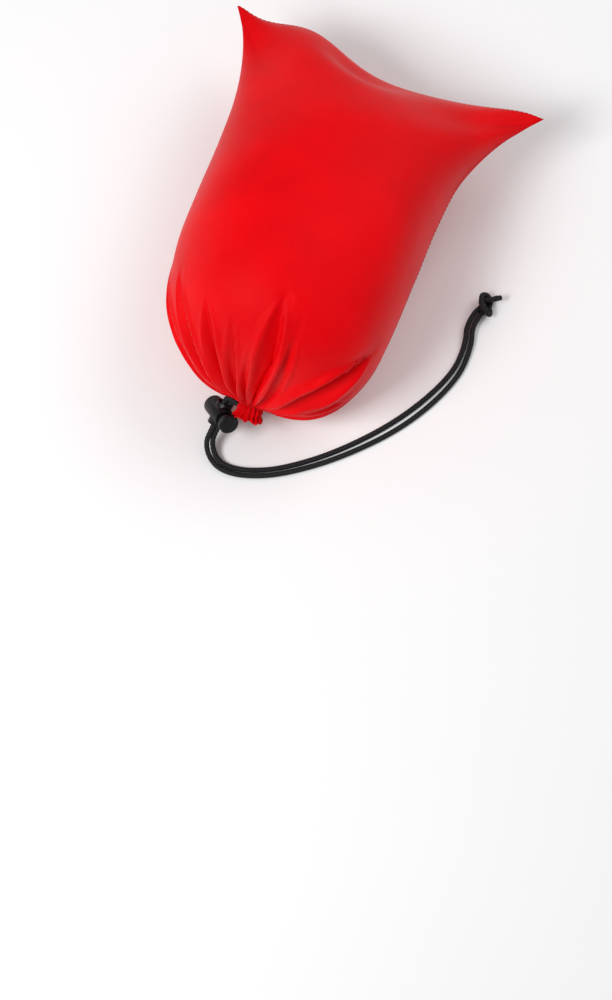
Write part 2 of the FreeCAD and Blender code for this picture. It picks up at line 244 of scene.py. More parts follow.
@dataclass(frozen=True)
class Braid:
    """A round braid: two families of yarns wind opposite ways and pass over and under in turn."""

    radius: float = 1.5 * MM
    yarns: int = 5
    pitch: float = 2.3 * MM
    relief: float = 0.2 * MM
    sides: int = 30
    step: float = 0.24 * MM
    rounding: float = 0.8 * MM

    def height(self, around: np.ndarray, along: np.ndarray) -> np.ndarray:
        """How far the upper yarn stands out: an arch across it, which sinks where it goes under.

        The two phases are the yarn count times the turn, plus or less the length over the pitch.
        Where the two whole parts add up to an even number the first family is on top.

        Args:
            around: turns about the middle, 0 to 1.
            along: distance along the cord.

        Returns:
            Heights from 0 to 1.
        """
        one = self.yarns * around + along / self.pitch
        other = self.yarns * around - along / self.pitch
        even = (np.floor(one) + np.floor(other)) % 2 == 0
        across = np.where(even, one, other) % 1.0
        length = np.where(even, other, one) % 1.0
        return np.sin(np.pi * across) ** 0.6 * (0.55 + 0.45 * np.sin(np.pi * length))

    def tube(self, name: str, path: np.ndarray, first: np.ndarray) -> bpy.types.Object:
        """The braid's surface along a path, rounded and closed at both ends.

        A point is the path's plus the radius times the turning direction across it. The radius
        falls as a quarter circle over the rounding length at each end.

        Args:
            name: the piece's name.
            path: points in order.
            first: the direction at the start from which turns are counted.

        Returns:
            The new object.
        """
        points, faces, uv = self.surface(path, first)
        return make_piece(name, points, faces, uv)

    def surface(self, path: np.ndarray, first: np.ndarray) -> tuple[np.ndarray, list, np.ndarray]:
        """The points, faces and pattern coordinates of a tube along a path, as tube() says."""
        total = length_of(path)
        inner = np.linspace(self.rounding, total - self.rounding, max(4, int(total / self.step)))
        bend = self.rounding * (1.0 - np.cos(np.linspace(0.06, 1.0, 6)[:-1] * np.pi / 2))
        stations = np.concatenate([bend, inner, total - bend[::-1]])
        near = np.minimum(stations, total - stations)
        shrink = np.sqrt(np.clip(1.0 - (1.0 - near / self.rounding).clip(0.0) ** 2, 0.0, 1.0))
        middle = spaced_along(path, stations)
        _, across, up = carried_sideways(middle, first)
        turns = np.arange(self.sides) / self.sides
        around, along = np.meshgrid(turns, stations)
        reach = (self.radius - self.relief * (1.0 - self.height(around, along))) * shrink[:, None]
        angle = 2.0 * np.pi * around[..., None]
        ring = across[:, None] * np.cos(angle) + up[:, None] * np.sin(angle)
        points = middle[:, None] + ring * reach[..., None]
        ids = np.arange(points.shape[0] * self.sides).reshape(points.shape[:2])
        ids = np.concatenate([ids, ids[:, :1]], axis=1)
        quads = grid_quads(ids)
        turn_at = np.broadcast_to(np.arange(self.sides + 1) / self.sides * self.yarns, ids.shape)
        run_at = np.broadcast_to((stations / self.pitch)[:, None], ids.shape)
        corner = np.stack([turn_at, run_at], axis=-1)
        corners = np.stack([corner[:-1, :-1], corner[:-1, 1:], corner[1:, 1:], corner[1:, :-1]], axis=2)
        ends = [ids[0, :-1][::-1].tolist(), ids[-1, :-1].tolist()]
        uv = np.concatenate([corners.reshape(-1, 2), np.zeros((2 * self.sides, 2))])
        return points.reshape(-1, 3), quads.tolist() + ends, uv


# ---------------------------------------------------------------- shader maths


class Value:
    """A number socket of a shader, which Python's operators and a few functions work on."""

    def __init__(self, graph: "Graph", socket: bpy.types.NodeSocket) -> None:
        """Keep the graph and the socket."""
        self.graph = graph
        self.socket = socket

    def _math(self, operation: str, *operands: object) -> "Value":
        """Add a Math node.

        Args:
            operation: the node's operation.
            operands: values or numbers, in order.

        Returns:
            The node's result.
        """
        sockets = {index: operand for index, operand in enumerate(operands)}
        node = self.graph.node("ShaderNodeMath", {"operation": operation}, sockets)
        return Value(self.graph, node.outputs[0])

    def __add__(self, other: object) -> "Value":
        """The sum."""
        return self._math("ADD", self, other)

    __radd__ = __add__

    def __sub__(self, other: object) -> "Value":
        """The difference."""
        return self._math("SUBTRACT", self, other)

    def __rsub__(self, other: object) -> "Value":
        """A number less this value."""
        return self._math("SUBTRACT", other, self)

    def __mul__(self, other: object) -> "Value":
        """The product."""
        return self._math("MULTIPLY", self, other)

    __rmul__ = __mul__

    def sin(self) -> "Value":
        """The sine."""
        return self._math("SINE", self)

    def floor(self) -> "Value":
        """The whole part."""
        return self._math("FLOOR", self)

    def fraction(self) -> "Value":
        """What is left past the whole part."""
        return self._math("FRACT", self)


class Graph:
    """The nodes of one material."""

    def __init__(self, name: str) -> None:
        """Start a material that holds only its output and its Principled shader."""
        self.material = bpy.data.materials.new(name)
        self.material.use_nodes = True
        self.tree = self.material.node_tree
        self.shader = self.tree.nodes["Principled BSDF"]

    def node(self, kind: str, settings: dict, sockets: dict) -> bpy.types.Node:
        """Add a node.

        Args:
            kind: the node's type name.
            settings: its properties, set first.
            sockets: values or links of its inputs, by name or number.

        Returns:
            The node.
        """
        node = self.tree.nodes.new(kind)
        for key, value in settings.items():
            setattr(node, key, value)
        for key, value in sockets.items():
            self.feed(node.inputs[key], value)
        return node

    def feed(self, socket: bpy.types.NodeSocket, value: object) -> None:
        """Link a value or a socket to an input, or set the input to a plain value."""
        if isinstance(value, Value):
            value = value.socket
        if isinstance(value, bpy.types.NodeSocket):
            self.tree.links.new(value, socket)
        else:
            socket.default_value = value

    def pattern(self) -> tuple[Value, Value]:
        """The piece's own pattern coordinates, as two values."""
        uv = self.node("ShaderNodeUVMap", {"uv_map": "pattern"}, {})
        parts = self.node("ShaderNodeSeparateXYZ", {}, {0: uv.outputs[0]})
        return Value(self, parts.outputs[0]), Value(self, parts.outputs[1])

    def place(self) -> bpy.types.NodeSocket:
        """Object coordinates."""
        return self.node("ShaderNodeTexCoord", {}, {}).outputs["Object"]

    def noise(self, vector: bpy.types.NodeSocket, scale: float, detail: float = 2.0) -> Value:
        """Smooth noise from 0 to 1.

        Args:
            vector: the coordinates that it reads.
            scale: lumps per unit.
            detail: how many finer layers it has.

        Returns:
            The noise.
        """
        node = self.node("ShaderNodeTexNoise", {}, {"Vector": vector, "Scale": scale, "Detail": detail})
        return Value(self, node.outputs["Fac"])

    def mixed(self, share: Value, first: tuple, second: tuple) -> bpy.types.NodeSocket:
        """A colour between two.

        Args:
            share: 0 for the first colour, 1 for the second.
            first: a colour or a socket.
            second: a colour or a socket.

        Returns:
            The mixed colour's socket.
        """
        node = self.node("ShaderNodeMix", {"data_type": "RGBA"}, {0: share, 6: first, 7: second})
        return node.outputs[2]

    def ramp(self, value: Value, low: float, high: float) -> Value:
        """A value spread so that low becomes 0 and high becomes 1, and cut off past them."""
        node = self.node("ShaderNodeMapRange", {}, {"Value": value, "From Min": low, "From Max": high})
        return Value(self, node.outputs[0])

    def bump(self, height: Value, distance: float, strength: float = 1.0) -> None:
        """Let a height in the range 0 to 1 tilt the surface, as if it stood that distance proud."""
        sockets = {"Height": height, "Distance": distance, "Strength": strength}
        node = self.node("ShaderNodeBump", {}, sockets)
        self.feed(self.shader.inputs["Normal"], node.outputs[0])

    def finish(self, constants: dict) -> bpy.types.Material:
        """Set the shader's own values and return the material."""
        for key, value in constants.items():
            self.shader.inputs[key].default_value = value
        return self.material


# ---------------------------------------------------------------- finishes


@dataclass(frozen=True)
class WovenNylon:
    """Bright red woven nylon: a fine plain weave with a soft satin gloss."""

    name: str = "red_woven_nylon"
    base: tuple = (0.80, 0.0006, 0.0036, 1.0)
    deep: tuple = (0.60, 0.0005, 0.0030, 1.0)
    yarn: float = 1.0 * MM
    weave_depth: float = 0.10 * MM
    crinkle_depth: float = 0.25 * MM

    def material(self) -> bpy.types.Material:
        """The material, on pattern coordinates in metres of flat cloth."""
        graph = Graph(self.name)
        u, v = graph.pattern()
        warp = (u * (2.0 * math.pi / self.yarn)).sin()
        weft = (v * (2.0 * math.pi / self.yarn)).sin()
        weave = 0.5 + 0.5 * warp * weft
        place = graph.place()
        patches = graph.ramp(graph.noise(place, 28.0, 3.0), 0.35, 0.65)
        slubs = graph.noise(place, 900.0, 2.0)
        crinkle = graph.noise(place, 95.0, 3.0)
        tone = patches * 0.45 + weave * 0.4 + slubs * 0.15
        graph.feed(graph.shader.inputs["Base Color"], graph.mixed(tone, self.deep, self.base))
        graph.feed(graph.shader.inputs["Roughness"], 0.36 + 0.10 * slubs + 0.06 * weave)
        share = self.weave_depth / self.crinkle_depth
        graph.bump(crinkle + weave * share + slubs * (0.6 * share), self.crinkle_depth, 0.8)
        return graph.finish({"Specular IOR Level": 0.40, "IOR": 1.3,
                             "Specular Tint": (1.0, 0.30, 0.30, 1.0)})


@dataclass(frozen=True)
class BraidedPolyester:
    """Black braided cord with a painted glint along each yarn: lighter colour on its crown, in fibre
    stripes.
    """

    name: str = "black_braided_cord"
    dark: tuple = (0.0015, 0.0015, 0.0018, 1.0)
    # The light colour is the painted glint on the yarn crowns.
    light: tuple = (0.060, 0.060, 0.066, 1.0)
    fibres: float = 5.0

    def material(self) -> bpy.types.Material:
        """The material, on pattern coordinates in yarns around and yarn pitches along."""
        graph = Graph(self.name)
        around, along = graph.pattern()
        one = around + along
        other = around - along
        odd = ((one.floor() + other.floor()) * 0.5).fraction() * 2.0
        across = one.fraction() * (1.0 - odd) + other.fraction() * odd
        arch = (across * math.pi).sin()
        strands = 0.5 + 0.5 * (across * (2.0 * math.pi * self.fibres)).sin()
        fuzz = graph.noise(graph.place(), 2600.0, 2.0)
        # Painted glint: the colour is lighter where a yarn's crown stands highest, in fibre stripes; the
        # fuzz adds random tone.
        tone = graph.ramp(arch, 0.62, 1.0) * (0.4 + 0.6 * strands) + 0.2 * fuzz - 0.12
        graph.feed(graph.shader.inputs["Base Color"], graph.mixed(tone, self.dark, self.light))
        graph.feed(graph.shader.inputs["Roughness"], 0.46 + 0.25 * fuzz)
        graph.bump(arch * 0.5 + strands * 0.3 + fuzz * 0.4, 0.06 * MM, 0.7)
        return graph.finish({"Specular IOR Level": 0.12})


@dataclass(frozen=True)
class MouldedPlastic:
    """Black acetal: a fine spark-eroded grain, with paler scuffs."""

    name: str = "black_moulded_plastic"
    base: tuple = (0.0045, 0.0045, 0.0052, 1.0)
    scuffed: tuple = (0.028, 0.028, 0.030, 1.0)

    def material(self) -> bpy.types.Material:
        """The material, on Object coordinates."""
        graph = Graph(self.name)
        place = graph.place()
        grain = graph.noise(place, 4200.0, 2.0)
        scuffs = graph.ramp(graph.noise(place, 420.0, 4.0), 0.55, 0.72)
        graph.feed(graph.shader.inputs["Base Color"], graph.mixed(scuffs, self.base, self.scuffed))
        graph.feed(graph.shader.inputs["Roughness"], 0.30 + 0.14 * grain + 0.12 * scuffs)
        graph.bump(grain, 0.02 * MM, 0.5)
        return graph.finish({"Specular IOR Level": 0.22})


@dataclass(frozen=True)
class SewingThread:
    """Red polyester thread, twisted from plies."""

    name: str = "red_thread"
    base: tuple = (0.58, 0.004, 0.014, 1.0)
    deep: tuple = (0.28, 0.002, 0.008, 1.0)

    def material(self) -> bpy.types.Material:
        """The material, on Object coordinates."""
        graph = Graph(self.name)
        fuzz = graph.noise(graph.place(), 3000.0, 2.0)
        graph.feed(graph.shader.inputs["Base Color"], graph.mixed(fuzz, self.deep, self.base))
        graph.feed(graph.shader.inputs["Roughness"], 0.45 + 0.2 * fuzz)
        graph.bump(fuzz, 0.03 * MM, 0.6)
        return graph.finish({"Sheen Weight": 0.2})


@dataclass(frozen=True)
class SpringSteel:
    """Drawn spring wire."""

    name: str = "spring_wire"

    def material(self) -> bpy.types.Material:
        """The material, on Object coordinates."""
        graph = Graph(self.name)
        drawn = graph.noise(graph.place(), 2500.0, 3.0)
        colour = graph.mixed(drawn, (0.36, 0.36, 0.38, 1.0), (0.60, 0.60, 0.62, 1.0))
        graph.feed(graph.shader.inputs["Base Color"], colour)
        graph.feed(graph.shader.inputs["Roughness"], 0.22 + 0.16 * drawn)
        graph.bump(drawn, 0.01 * MM, 0.4)
        return graph.finish({"Metallic": 1.0})


@dataclass(frozen=True)
class SoftWadding:
    """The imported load: a grey knitted bundle, out of sight inside the sack."""

    name: str = "grey_wadding"

    def material(self) -> bpy.types.Material:
        """The material, on Object coordinates."""
        graph = Graph(self.name)
        place = graph.place()
        lumps = graph.noise(place, 60.0, 3.0)
        fibres = graph.noise(place, 1400.0, 3.0)
        colour = graph.mixed(lumps, (0.20, 0.20, 0.22, 1.0), (0.34, 0.34, 0.36, 1.0))
        graph.feed(graph.shader.inputs["Base Color"], colour)
        graph.feed(graph.shader.inputs["Roughness"], 0.80 + 0.15 * fibres)
        graph.bump(lumps * 0.7 + fibres * 0.3, 0.8 * MM, 0.7)
        return graph.finish({"Sheen Weight": 0.3})


def dress(piece: bpy.types.Object, material: bpy.types.Material, body: Body) -> bpy.types.Object:
    """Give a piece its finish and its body.

    Args:
        piece: the object.
        material: its finish.
        body: what it moves with.

    Returns:
        The same object.
    """
    piece.data.materials.clear()
    piece.data.materials.append(material)
    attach(piece, body.value)
    LOG.info("%s: %d faces, rides on %s", piece.name, len(getattr(piece.data, "polygons", [])), body.value)
    return piece


# ---------------------------------------------------------------- the sack


@dataclass
class Neck:
    """The gathered neck's place: x to the right, y up across the ring, z out of the sack."""

    centre: tuple = (0.8 * MM, -88.7 * MM, 25.6 * MM)
    lean: float = math.radians(31.0)

    def axes(self) -> np.ndarray:
        """Unit vectors right, up and out, as rows."""
        up = np.array([0.0, -math.sin(self.lean), math.cos(self.lean)])
        right = np.array([1.0, 0.0, 0.0])
        return np.stack([right, up, np.cross(right, up)])

    def placed(self, local: np.ndarray) -> np.ndarray:
        """Points given in the neck's own axes, moved to their place."""
        return np.asarray(self.centre) + local @ self.axes()


@dataclass
class SackCloth:
    """Two panels sewn together, laid as the filled sack stands and let settle as cloth."""

    flat_width_mm: float = 200.0
    flat_length_mm: float = 254.0
    columns: int = 136
    rows: int = 116
    pleats: float = 23.0
    pleats_full_until: float = 0.04
    pleats_gone_at: float = 0.20
    ridge_power: float = 0.8
    frames: int = 18
    pressure: float = 0.6
    thickness: float = 0.35 * MM

    # Sections of the filled sack: y, level z, half width, rise, drop, lean in degrees, bow and
    # how pointed the section is, from the neck to the closed end, in millimetres.
    sections: tuple = (
        (-88.7, 25.6, 5.5, 5.5, 5.5, 31.0, 0.0, 1.0),
        (-87.5, 27.0, 18.0, 16.0, 14.0, 14.0, 0.0, 1.0),
        (-84.0, 31.0, 33.0, 29.0, 23.0, 6.0, 0.0, 1.0),
        (-75.0, 38.0, 47.0, 43.0, 33.0, 5.0, 0.0, 1.0),
        (-58.0, 46.0, 58.0, 54.0, 43.0, 4.0, 0.0, 1.0),
        (-34.0, 50.0, 62.0, 56.0, 50.0, 3.0, 0.0, 0.95),
        (0.0, 52.0, 63.0, 54.0, 52.0, 0.0, 0.0, 0.95),
        (32.0, 53.0, 63.0, 49.0, 53.0, 0.0, 0.0, 1.0),
        (58.0, 53.0, 65.0, 42.0, 48.0, -2.0, 1.0, 1.1),
        (72.0, 52.5, 69.0, 36.0, 41.0, -1.0, 3.0, 1.2),
        (86.0, 52.0, 76.0, 26.0, 29.0, 0.0, 6.0, 1.5),
        (97.0, 51.5, 83.5, 14.0, 15.5, 0.0, 8.0, 1.8),
        (104.0, 51.0, 90.0, 0.0, 0.0, 0.0, 10.0, 2.0),
    )
    heart_mm: tuple = (0.0, -10.0, 50.0)
    # Leaf-shaped folds of the front panel: shares across at the neck and at the tip, the share
    # along of the tip, half width as a share, depth in millimetres and which side is steep.
    leaves: tuple = (
        (0.12, 0.05, 0.36, 0.030, 5.0, -0.6),
        (0.24, 0.16, 0.33, 0.035, 5.5, 0.5),
        (0.33, 0.31, 0.28, 0.038, 5.5, -0.4),
        (0.41, 0.41, 0.26, 0.026, 4.0, 0.5),
        (0.47, 0.49, 0.22, 0.020, 3.0, 0.2),
        (0.55, 0.54, 0.33, 0.045, 7.5, 0.6),
        (0.63, 0.61, 0.27, 0.026, 4.5, -0.5),
        (0.74, 0.90, 0.32, 0.060, 11.0, -0.5),
        (0.88, 0.97, 0.20, 0.030, 4.0, 0.3),
    )
    gathered_share: float = 0.6
    neck_depth: float = 0.55
    rim_height: float = 0.35
    rim_at: float = 1.15
    rim_width: float = 0.45
    least_half: float = 0.004
    sway_mm: float = -3.5
    floor_gap_mm: float = 0.4
    hump_mm: float = 7.0
    hump_at: float = 0.34
    hump_width: float = 0.11
    corner_folds: float = 5.0
    corner_reach_mm: float = 34.0
    corner_depth_mm: float = 4.5
    dimple_mm: float = 6.0
    dimple_at: float = 0.44
    dimple_down_mm: float = 14.0
    dimple_size_mm: float = 9.0
    dent_mm: float = 2.6
    end_wave_mm: float = 2.2
    end_starts_at: float = 0.86

    def grid(self) -> tuple[np.ndarray, np.ndarray]:
        """Shares across and along the cut, both 0 to 1, rows by columns."""
        return np.meshgrid(np.linspace(0, 1, self.columns + 1), np.linspace(0, 1, self.rows + 1))

    def posed(self, side: Side) -> np.ndarray:
        """One panel on its sections before it settles, in millimetres.

        Across a section, a point is half the width times minus the cosine of half a turn's share,
        and it rises or drops by the sine of that, along the section's leaning up direction.

        Args:
            side: which panel.

        Returns:
            Points, rows by columns by three.
        """
        across, along = self.grid()
        table = np.array(self.sections)
        crest = np.stack([table[:, 0], table[:, 1] + 0.6 * table[:, 3], 0.6 * table[:, 2]], axis=1)
        stations = np.concatenate([[0.0], np.cumsum(np.linalg.norm(np.diff(crest, axis=0), axis=1))])
        row = through(stations / stations[-1], table, along)
        y, level, width, rise, drop, lean, bow, pointed = np.moveaxis(row, -1, 0)
        turn = np.pi * across
        reach = -np.cos(turn)
        height = side.value * (rise if side is Side.FRONT else drop) * np.abs(np.sin(turn)) ** pointed
        tilt = np.radians(lean)
        sway = self.sway_mm * smoothstep(0.15, 0.45, along) * (1.0 - smoothstep(0.75, 1.0, along))
        points = np.stack([width * reach + sway, y + bow * reach**2 - np.sin(tilt) * height,
                           level + np.cos(tilt) * height], axis=-1)
        return points + self.creases(points, side)

    def creases(self, points: np.ndarray, side: Side) -> np.ndarray:
        """How far the filled sack's dents and corner folds stand off its sections.

        Folds fan out from both corners, a round dimple sits near the middle of the front's end
        seam, and soft dents cover the body. The end seam waves up and out with sines of the share
        across, and has one hump, a bell of that share.

        Args:
            points: the panel on its sections, in millimetres.
            side: which panel.

        Returns:
            Moves in millimetres, rows by columns by three.
        """
        across, along = self.grid()
        down = (1.0 - along) * self.flat_length_mm
        inside = np.sin(np.pi * across)
        out = self.corner_fans(across, down)
        if side is Side.FRONT:
            out -= self.dimple_mm * self.dimple(across, down) * inside
        out += self.dents(across, along) * inside
        turn = 2.0 * np.pi * across
        near_end = smoothstep(self.end_starts_at, 1.0, along) * inside
        wave = np.sin(turn * 1.5 + 0.4) + 0.5 * np.sin(turn * 3.5 + 1.0)
        hump = np.exp(-(((across - self.hump_at) / self.hump_width) ** 2)) * smoothstep(0.80, 1.0, along)
        move = unit(points - np.array(self.heart_mm)) * out[..., None]
        move[..., 1] += self.end_wave_mm * near_end * wave + self.hump_mm * hump
        move[..., 2] += 1.3 * self.end_wave_mm * near_end * np.sin(turn * 2.5 + 1.6)
        return move

    def corner_fans(self, across: np.ndarray, down: np.ndarray) -> np.ndarray:
        """Folds that fan out from both corners of the cut, in millimetres.

        Each is a sine of the turn about its corner, which fades at both edges of the cut. Its
        depth is the distance's share of the reach times e to the power of one less that share.

        Args:
            across: shares across the cut.
            down: distances from the end seam in millimetres.

        Returns:
            Heights, rows by columns.
        """
        total = np.zeros_like(across)
        for share, start in ((across, 0.6), (1.0 - across, 2.3)):
            beside = share * self.flat_width_mm
            distance = np.hypot(beside, down) / self.corner_reach_mm
            turn = np.arctan2(down, beside)
            fan = np.sin(self.corner_folds * turn + start + 0.9 * np.sin(2.0 * turn))
            fan = fan * np.sin(2.0 * turn).clip(0.0) ** 0.5
            total += self.corner_depth_mm * fan * distance * np.exp(1.0 - distance)
        return total

    def dimple(self, across: np.ndarray, down: np.ndarray) -> np.ndarray:
        """A round dimple near the end seam, a bell both ways, which stops short of the seam."""
        size = self.dimple_size_mm
        bell = np.exp(-(((across - self.dimple_at) * 9.0) ** 2) - ((down - self.dimple_down_mm) / size) ** 2)
        return bell * smoothstep(0.0, 10.0, down)

    def dents(self, across: np.ndarray, along: np.ndarray) -> np.ndarray:
        """Soft dents: two products of slanting sines, weaker towards the closed end."""
        body = np.sin(9.0 * across + 4.0 * along + 1.0) * np.sin(7.0 * along + 2.0 * across)
        body = body + 0.6 * np.sin(14.0 * across - 9.0 * along + 2.0) * np.sin(11.0 * along + 0.5)
        return self.dent_mm * body * smoothstep(0.12, 0.4, along) * (1.0 - 0.6 * along)

    def pleated(self, points: np.ndarray, girth: np.ndarray, side: Side) -> np.ndarray:
        """A panel with its spare width laid in pleats, which spread from the neck and die out.

        A pleat is a round ridge between sharp valleys: a power of the sine of half its phase,
        which runs unevenly about the sack. Its height is what a sine of that count needs to take
        up the width that the section's girth leaves over. The front panel has lower pleats and
        its leaf-shaped folds as well.

        Args:
            points: the panel on its sections.
            girth: the length around both panels at each row.
            side: which panel.

        Returns:
            The points, moved away from and towards the sack's heart.
        """
        across, along = self.grid()
        around = 2.0 * self.flat_width_mm
        spare = np.clip(around / girth - 1.0, 0.0, None)
        height = girth / (np.pi * self.pleats) * np.sqrt(spare)
        height = np.minimum(height, around / (4.0 * self.pleats))
        height = height * np.clip(along[:, 0] * 30.0, self.neck_depth, 1.0)
        turn = np.pi * (1.0 - side.value * across)
        phase = self.pleats * turn + 1.1 * np.sin(2 * turn + 0.4) + 0.8 * np.sin(3 * turn + 2.0)
        phase = phase + 0.5 * np.sin(5 * turn) + 0.5 * np.sin(6 * along)
        reach = self.pleats_gone_at * (1.0 + 0.22 * np.sin(3 * turn + 1.0) + 0.16 * np.sin(5 * turn + 2.2))
        fade = 1.0 - smoothstep(0.0, 1.0, (along - self.pleats_full_until) / reach)
        away = unit(points - np.array(self.heart_mm))
        ridge = 2.0 * np.abs(np.sin(0.5 * phase)) ** self.ridge_power - 1.0
        rise = height[:, None] * ridge * fade
        if side is Side.FRONT:
            rise = self.gathered_share * rise + self.leafed()
        moved = points + away * rise[..., None]
        moved[..., 2] = np.maximum(moved[..., 2], self.floor_gap_mm)
        return moved

    def leafed(self) -> np.ndarray:
        """How far the front panel's leaf-shaped folds rise and drop.

        Each is a valley with one steep side and a round rim. Its half width closes with the cube
        of the share of its length, and its depth fades with the fourth power of that. It starts
        a little past the neck.

        Returns:
            Millimetres, rows by columns.
        """
        across, along = self.grid()
        total = np.zeros_like(across)
        for start, end, reach, half, depth, steep in self.leaves:
            step = np.clip(along / reach, 0.0, 1.0)
            middle = start + (end - start) * step**1.5
            beside = (across - middle) / (half * (1.0 - step**3) + self.least_half)
            valley = np.minimum((1.0 + beside) / (1.0 + steep), (1.0 - beside) / (1.0 - steep))
            rim = np.exp(-(((np.abs(beside) - self.rim_at) / self.rim_width) ** 2))
            shape = self.rim_height * rim - valley.clip(0.0)
            total += depth * shape * smoothstep(0.05, 0.3, step) * (1.0 - step**4)
        return total

    def settled(self) -> tuple[np.ndarray, np.ndarray]:
        """Both panels after the cloth has settled.

        Returns:
            Front and back points in metres, rows by columns by three. They share their borders,
            and only the neck's is open.
        """
        front, back = self.posed(Side.FRONT), self.posed(Side.BACK)
        ring = np.concatenate([front, back[:, ::-1]], axis=1)
        girth = np.linalg.norm(np.diff(ring, axis=1), axis=-1).sum(axis=1)
        front = self.pleated(front, girth, Side.FRONT)
        back = self.pleated(back, girth, Side.BACK)
        count = front.shape[0] * front.shape[1]
        front_ids = np.arange(count).reshape(front.shape[:2])
        back_ids = np.full(front.shape[:2], -1)
        back_ids[:, 0], back_ids[:, -1], back_ids[-1] = front_ids[:, 0], front_ids[:, -1], front_ids[-1]
        own = back_ids < 0
        back_ids[own] = count + np.arange(own.sum())
        points = np.concatenate([front.reshape(-1, 3), back[own]])
        points = ClothRun(self).run(points, front_ids, back_ids, own)
        points = points * MM
        return points[front_ids], points[back_ids]

    def build(self, front: np.ndarray, back: np.ndarray, material: bpy.types.Material) -> dict:
        """The two panels as thin pieces.

        Args:
            front: the settled front points.
            back: the settled back points.
            material: the fabric.

        Returns:
            The pieces by side.
        """
        across, along = self.grid()
        flat = np.stack([across * self.flat_width_mm, along * self.flat_length_mm], axis=-1) * MM
        pieces = {}
        for side, grid in ((Side.FRONT, front), (Side.BACK, back)):
            name = side.name.lower()
            piece = panel_piece(name + "_panel_cloth", grid, flat, side is Side.FRONT)
            thick = piece.modifiers.new("thick", "SOLIDIFY")
            thick.thickness = self.thickness
            thick.offset = -1.0
            dress(piece, material, Body.SACK)
            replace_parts(piece, name + "_panel")
            pieces[side] = piece
        return pieces


@dataclass
class ClothRun:
    """One cloth simulation of the sack, at a working scale at which cloth moves freely."""

    cloth: SackCloth
    bending: float = 0.08
    stretch: float = 25.0
    shear: float = 8.0
    mass: float = 0.15
    damping: float = 8.0
    bending_damping: float = 0.5
    hold_stiffness: float = 5.0
    floor_friction: float = 10.0
    gravity: float = 0.0
    quality: int = 6
    scale: float = 0.01
    flat_gap_mm: float = 0.5
    body_hold: float = 0.15
    ear_hold: float = 0.6
    hold_levels: int = 24
    floor_size: float = 3.0
    collision_gap: float = 0.003

    def run(self, points: np.ndarray, front: np.ndarray, back: np.ndarray, own: np.ndarray) -> np.ndarray:
        """Let the sewn panels settle from their laid shape towards their cut's own lengths.

        Args:
            points: every vertex in millimetres.
            front: vertex numbers of the front panel's grid.
            back: the same for the back panel, which shares the seams.
            own: which of the back grid's vertices are its own.

        Returns:
            The settled vertices in millimetres.
        """
        across, along = self.cloth.grid()
        flat = np.stack([(across - 0.5) * self.cloth.flat_width_mm, along * self.cloth.flat_length_mm,
                         np.full_like(across, self.flat_gap_mm)], axis=-1)
        rest = np.concatenate([flat.reshape(-1, 3), flat[own] * np.array([1.0, 1.0, -1.0])])
        rest[np.concatenate([back[:, 0], back[:, -1], back[-1]]), 2] = 0.0
        faces = np.concatenate([grid_quads(front), grid_quads(back, False)])
        sack = make_piece("cloth_run", points * self.scale, faces.tolist())
        sack.shape_key_add(name="posed")
        cut = sack.shape_key_add(name="cut")
        cut.data.foreach_set("co", (rest * self.scale).ravel())
        self._hold(sack, own)
        helpers = [sack, self._floor()]
        self._cloth(sack, cut)
        scene = bpy.context.scene
        for number in range(1, self.cloth.frames + 1):
            scene.frame_set(number)
        evaluated = sack.evaluated_get(bpy.context.evaluated_depsgraph_get())
        mesh = evaluated.to_mesh()
        settled = np.empty(len(mesh.vertices) * 3)
        mesh.vertices.foreach_get("co", settled)
        evaluated.to_mesh_clear()
        for helper in helpers:
            bpy.data.objects.remove(helper)
        scene.frame_set(1)
        return settled.reshape(-1, 3) / self.scale

    def _hold(self, sack: bpy.types.Object, own: np.ndarray) -> None:
        """Hold the neck's ring fast, leave the pleats free and hold the rest softly as laid.

        The hold rises smoothly along the cut, to the body's share and then to the ears' share.

        Args:
            sack: the cloth.
            own: which of the back grid's vertices are its own.
        """
        _, along = self.cloth.grid()
        hold = self.body_hold * smoothstep(0.28, 0.55, along)
        hold = hold + (self.ear_hold - self.body_hold) * smoothstep(0.86, 1.0, along)
        hold[0] = 1.0
        level = np.rint(hold * self.hold_levels).astype(int)
        levels = np.concatenate([level.ravel(), level[own]])
        group = sack.vertex_groups.new(name="held")
        for step in range(1, self.hold_levels + 1):
            group.add(np.flatnonzero(levels == step).tolist(), step / self.hold_levels, "REPLACE")

    def _floor(self) -> bpy.types.Object:
        """A level square that the cloth rests on."""
        size = self.floor_size
        corners = np.array([[-size, -size, 0], [size, -size, 0], [size, size, 0], [-size, size, 0]], float)
        floor = make_piece("cloth_run_floor", corners, [[0, 1, 2, 3]])
        floor.modifiers.new("rest", "COLLISION")
        floor.collision.thickness_outer = self.collision_gap
        floor.collision.cloth_friction = self.floor_friction
        return floor

    def _cloth(self, sack: bpy.types.Object, cut: bpy.types.ShapeKey) -> None:
        """Set up the cloth: the cut is its unstretched shape, and a light pressure fills it."""
        modifier = sack.modifiers.new("cloth", "CLOTH")
        settings = modifier.settings
        settings.quality = self.quality
        settings.mass = self.mass
        settings.tension_stiffness = settings.compression_stiffness = self.stretch
        settings.shear_stiffness = self.shear
        settings.bending_stiffness = self.bending
        settings.tension_damping = settings.compression_damping = settings.shear_damping = self.damping
        settings.bending_damping = self.bending_damping
        settings.vertex_group_mass = "held"
        settings.pin_stiffness = self.hold_stiffness
        settings.rest_shape_key = cut
        settings.effector_weights.gravity = self.gravity
        settings.use_pressure = True
        settings.uniform_pressure_force = self.cloth.pressure
        modifier.collision_settings.use_self_collision = False
        modifier.collision_settings.distance_min = self.collision_gap
        modifier.point_cache.frame_end = self.cloth.frames


